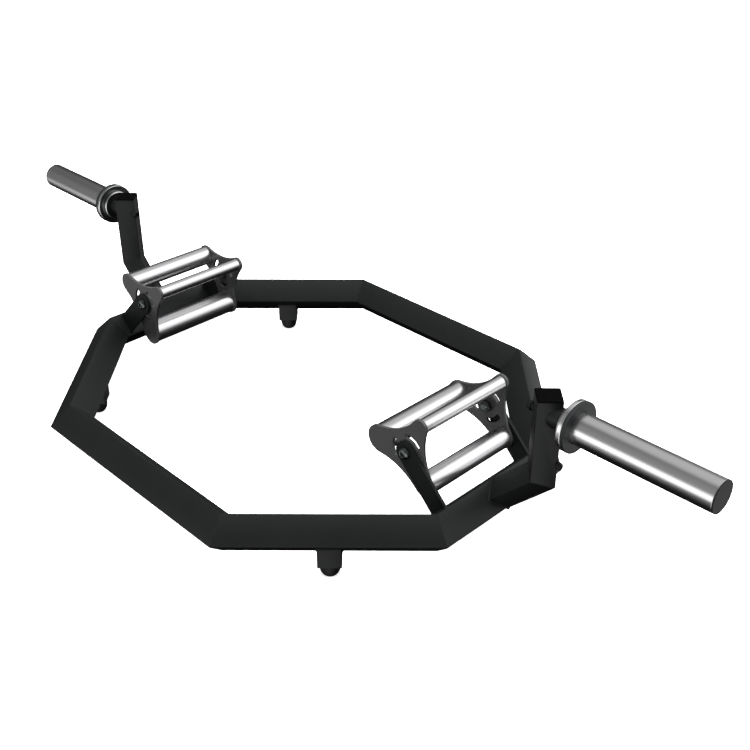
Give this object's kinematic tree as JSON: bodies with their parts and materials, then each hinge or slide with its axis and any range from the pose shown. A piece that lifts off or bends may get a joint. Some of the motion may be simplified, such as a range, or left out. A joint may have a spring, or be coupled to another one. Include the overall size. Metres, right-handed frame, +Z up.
{
  "type": "trap bar",
  "caption": "Octagonal lifting frame of square tube with raised plate sleeves and turning drums of thick, medium and thin grips.",
  "frame": {"origin": "on the floor under the centre of the octagonal frame", "axes": "+X along the right plate sleeve, +Y along the grips towards the back, +Z up"},
  "size_m": [1.6262, 0.7802, 0.3205],
  "materials": {
    "frame_paint": "matte black powder coat",
    "bracket_paint": "satin black powder coat",
    "cap_plastic": "moulded black plastic",
    "bumper_rubber": "black rubber",
    "plate_paint": "satin grey paint",
    "grip_chrome": "satin bright chrome",
    "sleeve_chrome": "satin bright chrome",
    "soft_ring": "dark grey moulded urethane",
    "hub_steel": "bright turned steel",
    "end_cap": "dark grey plastic",
    "fastener_zinc": "bright zinc",
    "fastener_black": "black oxide"
  },
  "bodies": {
    "frame": {"bar_front": "frame_paint", "bar_front_right": "frame_paint", "bar_right": "frame_paint", "bar_back_right": "frame_paint", "bar_back": "frame_paint", "bar_back_left": "frame_paint", "bar_left": "frame_paint", "bar_front_left": "frame_paint", "arm_right": "frame_paint", "post_right": "frame_paint", "post_cap_right": "cap_plastic", "hub_right": "hub_steel", "collar_right": "hub_steel", "soft_ring_right": "soft_ring", "sleeve_right": "sleeve_chrome", "sleeve_end_cap_right": "end_cap", "sleeve_bolt_right": "fastener_black", "post_peg_right": "fastener_black", "arm_left": "frame_paint", "post_left": "frame_paint", "post_cap_left": "cap_plastic", "hub_left": "hub_steel", "collar_left": "hub_steel", "soft_ring_left": "soft_ring", "sleeve_left": "sleeve_chrome", "sleeve_end_cap_left": "end_cap", "sleeve_bolt_left": "fastener_black", "post_peg_left": "fastener_black", "foot_post_front_right": "frame_paint", "foot_bumper_front_right": "bumper_rubber", "foot_post_front_left": "frame_paint", "foot_bumper_front_left": "bumper_rubber", "foot_post_back_right": "frame_paint", "foot_bumper_back_right": "bumper_rubber", "foot_post_back_left": "frame_paint", "foot_bumper_back_left": "bumper_rubber", "bracket_right_front": "bracket_paint", "pivot_bolt_right_front": "fastener_zinc", "pivot_nut_right_front": "fastener_zinc", "bracket_right_back": "bracket_paint", "pivot_bolt_right_back": "fastener_zinc", "pivot_nut_right_back": "fastener_zinc", "bracket_left_front": "bracket_paint", "pivot_bolt_left_front": "fastener_zinc", "pivot_nut_left_front": "fastener_zinc", "bracket_left_back": "bracket_paint", "pivot_bolt_left_back": "fastener_zinc", "pivot_nut_left_back": "fastener_zinc"},
    "drum_right": {"drum_plate_right_front": "plate_paint", "drum_plate_right_back": "plate_paint", "grip_right_fat": "grip_chrome", "grip_right_medium": "grip_chrome", "grip_right_thin": "grip_chrome"},
    "drum_left": {"drum_plate_left_front": "plate_paint", "drum_plate_left_back": "plate_paint", "grip_left_fat": "grip_chrome", "grip_left_medium": "grip_chrome", "grip_left_thin": "grip_chrome"}
  },
  "joints": [
    {"name": "drum_right_turn", "type": "hinge", "parent": "frame", "child": "drum_right", "pos_m": [0.35128, 0, 0.16972], "axis": [0, 1, 0], "continuous": true},
    {"name": "drum_left_turn", "type": "hinge", "parent": "frame", "child": "drum_left", "pos_m": [-0.35128, 0, 0.16972], "axis": [0, 1, 0], "continuous": true}
  ]
}
